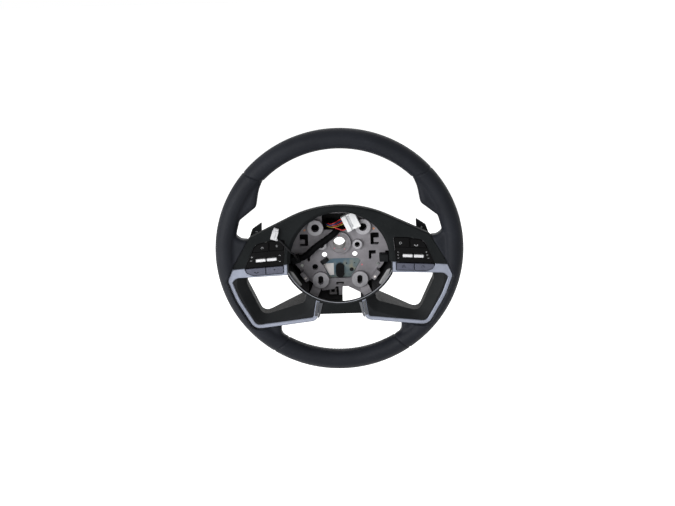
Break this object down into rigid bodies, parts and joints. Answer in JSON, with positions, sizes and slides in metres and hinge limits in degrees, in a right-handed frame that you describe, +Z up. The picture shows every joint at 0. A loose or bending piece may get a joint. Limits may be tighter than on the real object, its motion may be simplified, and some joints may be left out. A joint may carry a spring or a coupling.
{
  "type": "car steering wheel",
  "caption": "Leather-rimmed car steering wheel with silver spoke trims, thumb switches and shift paddles, its airbag removed to show the cast hub and wiring.",
  "frame": {"origin": "on the steering column's axis, at the front face of the column boss", "axes": "+X to the driver's right, +Z up, +Y along the column away from the driver"},
  "size_m": [0.37, 0.093, 0.37],
  "materials": {
    "cast_magnesium": "satin",
    "steel": "satin",
    "zinc": "satin",
    "blue_zinc": "satin",
    "foam": "matte",
    "leather": "satin",
    "soft_black": "matte",
    "grained_black": "matte",
    "black_plastic": "satin",
    "gloss_black": "gloss",
    "satin_silver": "satin",
    "silver_key": "satin",
    "bright_silver": "satin",
    "circuit_board": "satin",
    "black_rubber": "matte",
    "black_tape": "matte",
    "black_insulation": "satin",
    "red_insulation": "satin",
    "blue_insulation": "satin",
    "yellow_insulation": "satin",
    "white_plastic": "satin"
  },
  "bodies": {
    "wheel": {"armature": "cast_magnesium", "blue_wire": "blue_insulation", "bridge_cover": "soft_black", "column_boss": "steel", "control_module": "blue_zinc", "front_cover": "soft_black", "harness_sleeve": "black_tape", "hub_ring": "satin_silver", "leather_left": "leather", "leather_lower": "leather", "leather_right": "leather", "leather_upper": "leather", "left_paddle_bracket": "black_plastic", "left_paddle_pin": "steel", "left_plug": "black_plastic", "left_spoke_frame": "soft_black", "left_switch_board": "circuit_board", "left_switch_housing": "gloss_black", "left_trim": "satin_silver", "main_connector": "white_plastic", "module_grommet": "black_rubber", "rear_cover": "grained_black", "rear_cover_screws": "zinc", "red_wires": "red_insulation", "right_paddle_bracket": "black_plastic", "right_paddle_pin": "steel", "right_plug": "black_plastic", "right_spoke_frame": "soft_black", "right_switch_board": "circuit_board", "right_switch_housing": "gloss_black", "right_trim": "satin_silver", "rim_foam": "foam", "small_connector": "white_plastic", "small_lead": "black_insulation", "switch_screws": "zinc", "wire_tape": "black_tape", "yellow_wire": "yellow_insulation"},
    "left_upper_outer_key": {"left_upper_outer_key": "gloss_black"},
    "left_upper_inner_key": {"left_upper_inner_key": "gloss_black"},
    "left_lower_outer_key": {"left_lower_outer_key": "silver_key"},
    "left_lower_inner_key": {"left_lower_inner_key": "silver_key"},
    "left_outer_toggle": {"left_outer_toggle": "bright_silver"},
    "left_inner_toggle": {"left_inner_toggle": "bright_silver"},
    "left_paddle": {"left_paddle": "black_plastic"},
    "right_upper_outer_key": {"right_upper_outer_key": "gloss_black"},
    "right_upper_inner_key": {"right_upper_inner_key": "gloss_black"},
    "right_lower_outer_key": {"right_lower_outer_key": "silver_key"},
    "right_lower_inner_key": {"right_lower_inner_key": "silver_key"},
    "right_outer_toggle": {"right_outer_toggle": "bright_silver"},
    "right_inner_toggle": {"right_inner_toggle": "bright_silver"},
    "right_paddle": {"right_paddle": "black_plastic"}
  },
  "joints": [
    {"name": "left_upper_outer_key_press", "type": "slide", "parent": "wheel", "child": "left_upper_outer_key", "axis": [0, 1, 0], "range_m": [0, 0.0012], "stiffness_N_per_m": 900, "springref_m": -0.001},
    {"name": "left_upper_inner_key_press", "type": "slide", "parent": "wheel", "child": "left_upper_inner_key", "axis": [0, 1, 0], "range_m": [0, 0.0012], "stiffness_N_per_m": 900, "springref_m": -0.001},
    {"name": "left_lower_outer_key_press", "type": "slide", "parent": "wheel", "child": "left_lower_outer_key", "axis": [0, 1, 0], "range_m": [0, 0.0012], "stiffness_N_per_m": 900, "springref_m": -0.001},
    {"name": "left_lower_inner_key_press", "type": "slide", "parent": "wheel", "child": "left_lower_inner_key", "axis": [0, 1, 0], "range_m": [0, 0.0012], "stiffness_N_per_m": 900, "springref_m": -0.001},
    {"name": "left_outer_toggle_rock", "type": "hinge", "parent": "wheel", "child": "left_outer_toggle", "pos_m": [-0.11738, -0.0533, -0.00793], "axis": [0.9979, 0, 0.0645], "range_deg": [-7, 7], "stiffness_Nm_per_rad": 0.06},
    {"name": "left_inner_toggle_rock", "type": "hinge", "parent": "wheel", "child": "left_inner_toggle", "pos_m": [-0.10102, -0.0533, -0.00687], "axis": [0.9979, 0, 0.0645], "range_deg": [-7, 7], "stiffness_Nm_per_rad": 0.06},
    {"name": "left_paddle_pull", "type": "hinge", "parent": "wheel", "child": "left_paddle", "pos_m": [-0.094, -0.021, 0.0175], "axis": [0, 0, 1], "range_deg": [0, 6], "stiffness_Nm_per_rad": 1.2, "springref_deg": -6.88},
    {"name": "right_upper_outer_key_press", "type": "slide", "parent": "wheel", "child": "right_upper_outer_key", "axis": [0, 1, 0], "range_m": [0, 0.0012], "stiffness_N_per_m": 900, "springref_m": -0.001},
    {"name": "right_upper_inner_key_press", "type": "slide", "parent": "wheel", "child": "right_upper_inner_key", "axis": [0, 1, 0], "range_m": [0, 0.0012], "stiffness_N_per_m": 900, "springref_m": -0.001},
    {"name": "right_lower_outer_key_press", "type": "slide", "parent": "wheel", "child": "right_lower_outer_key", "axis": [0, 1, 0], "range_m": [0, 0.0012], "stiffness_N_per_m": 900, "springref_m": -0.001},
    {"name": "right_lower_inner_key_press", "type": "slide", "parent": "wheel", "child": "right_lower_inner_key", "axis": [0, 1, 0], "range_m": [0, 0.0012], "stiffness_N_per_m": 900, "springref_m": -0.001},
    {"name": "right_outer_toggle_rock", "type": "hinge", "parent": "wheel", "child": "right_outer_toggle", "pos_m": [0.11738, -0.0533, -0.00793], "axis": [0.9979, 0, -0.0645], "range_deg": [-7, 7], "stiffness_Nm_per_rad": 0.06},
    {"name": "right_inner_toggle_rock", "type": "hinge", "parent": "wheel", "child": "right_inner_toggle", "pos_m": [0.10102, -0.0533, -0.00687], "axis": [0.9979, 0, -0.0645], "range_deg": [-7, 7], "stiffness_Nm_per_rad": 0.06},
    {"name": "right_paddle_pull", "type": "hinge", "parent": "wheel", "child": "right_paddle", "pos_m": [0.094, -0.021, 0.0175], "axis": [0, 0, -1], "range_deg": [0, 6], "stiffness_Nm_per_rad": 1.2, "springref_deg": -6.88}
  ]
}
